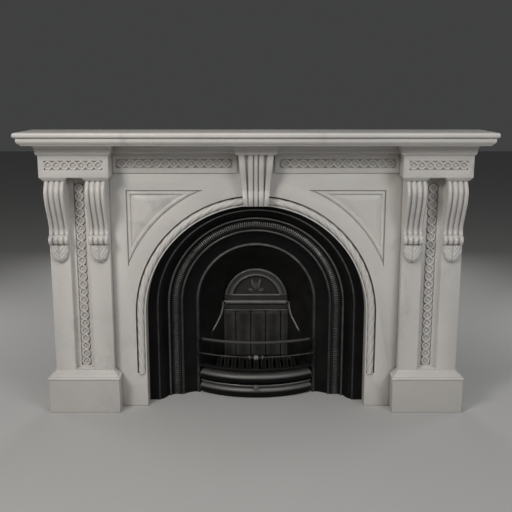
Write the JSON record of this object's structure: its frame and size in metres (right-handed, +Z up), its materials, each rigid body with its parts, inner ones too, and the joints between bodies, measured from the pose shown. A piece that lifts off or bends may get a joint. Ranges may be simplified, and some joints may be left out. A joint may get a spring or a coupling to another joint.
{
  "type": "fireplace mantel",
  "caption": "Arched marble chimneypiece with reeded corbels, keystone and rope moulding, fitted with a cast-iron register grate; stands on the hearth against a wall.",
  "frame": {"origin": "on the hearth, in the middle of the width, on the wall line that the marble backs on to", "axes": "+X to the right seen from the front, +Y into the chimney breast, +Z up"},
  "size_m": [1.82, 0.518, 1.158],
  "materials": {
    "marble": "honed, softly veined",
    "polished_iron": "black-leaded, low sheen",
    "sooty_iron": "matt, burnt"
  },
  "bodies": {
    "root": {"shelf": "marble", "bed_mould": "marble", "frieze_left": "marble", "frieze_right": "marble", "keystone": "marble", "spandrel_left": "marble", "spandrel_right": "marble", "rope_left": "marble", "rope_right": "marble", "capital_left": "marble", "capital_right": "marble", "pilaster_left": "marble", "pilaster_right": "marble", "plinth_left": "marble", "plinth_right": "marble", "corbel_left_outer": "marble", "corbel_left_inner": "marble", "corbel_right_inner": "marble", "corbel_right_outer": "marble", "arch_plate": "polished_iron", "fire_back": "sooty_iron", "fire_brick": "sooty_iron", "front_bars": "polished_iron", "bottom_grate": "sooty_iron", "ash_front": "polished_iron", "ash_knob": "polished_iron"}
  },
  "joints": []
}
